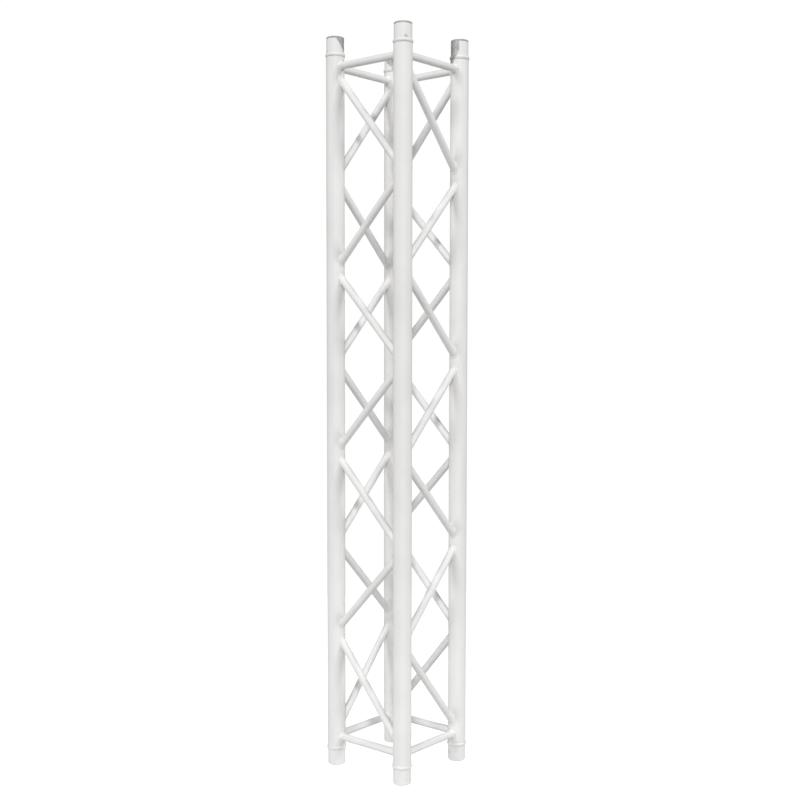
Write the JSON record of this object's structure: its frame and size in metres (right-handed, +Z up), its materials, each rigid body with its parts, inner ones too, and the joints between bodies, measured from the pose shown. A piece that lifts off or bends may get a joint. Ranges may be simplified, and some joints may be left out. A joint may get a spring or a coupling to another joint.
{
  "type": "lighting truss section",
  "caption": "Square lighting truss section: tube chords joined by zigzag diagonals and end braces, with machined coupler receivers at both ends.",
  "frame": {"origin": "middle of the square formed by the four chord axes, in the plane of the bottom rims", "axes": "+Z up along the chords; the faces look along +X, -X, +Y and -Y"},
  "size_m": [0.2936, 0.2936, 2],
  "materials": {
    "chords": "white powder coat, fine texture, satin",
    "end_braces": "white powder coat, fine texture, satin",
    "diagonals": "white powder coat, fine texture, satin",
    "receivers": "white powder coat outside, bare turned aluminium at the rim and in the socket",
    "ring_welds": "white powder coat over a rippled weld bead",
    "joint_welds": "white powder coat over a rippled fillet weld"
  },
  "bodies": {
    "root": {"chord_front_left": "chords", "chord_front_right": "chords", "chord_back_right": "chords", "chord_back_left": "chords", "receiver_bottom_front_left": "receivers", "receiver_bottom_front_right": "receivers", "receiver_bottom_back_right": "receivers", "receiver_bottom_back_left": "receivers", "receiver_top_front_left": "receivers", "receiver_top_front_right": "receivers", "receiver_top_back_right": "receivers", "receiver_top_back_left": "receivers", "ring_welds_bottom": "ring_welds", "ring_welds_top": "ring_welds", "front_brace_bottom": "end_braces", "front_brace_top": "end_braces", "right_brace_bottom": "end_braces", "right_brace_top": "end_braces", "back_brace_bottom": "end_braces", "back_brace_top": "end_braces", "left_brace_bottom": "end_braces", "left_brace_top": "end_braces", "front_diagonal_1": "diagonals", "front_diagonal_2": "diagonals", "front_diagonal_3": "diagonals", "front_diagonal_4": "diagonals", "front_diagonal_5": "diagonals", "front_diagonal_6": "diagonals", "front_diagonal_7": "diagonals", "right_diagonal_1": "diagonals", "right_diagonal_2": "diagonals", "right_diagonal_3": "diagonals", "right_diagonal_4": "diagonals", "right_diagonal_5": "diagonals", "right_diagonal_6": "diagonals", "right_diagonal_7": "diagonals", "back_diagonal_1": "diagonals", "back_diagonal_2": "diagonals", "back_diagonal_3": "diagonals", "back_diagonal_4": "diagonals", "back_diagonal_5": "diagonals", "back_diagonal_6": "diagonals", "back_diagonal_7": "diagonals", "left_diagonal_1": "diagonals", "left_diagonal_2": "diagonals", "left_diagonal_3": "diagonals", "left_diagonal_4": "diagonals", "left_diagonal_5": "diagonals", "left_diagonal_6": "diagonals", "left_diagonal_7": "diagonals"}
  },
  "joints": []
}
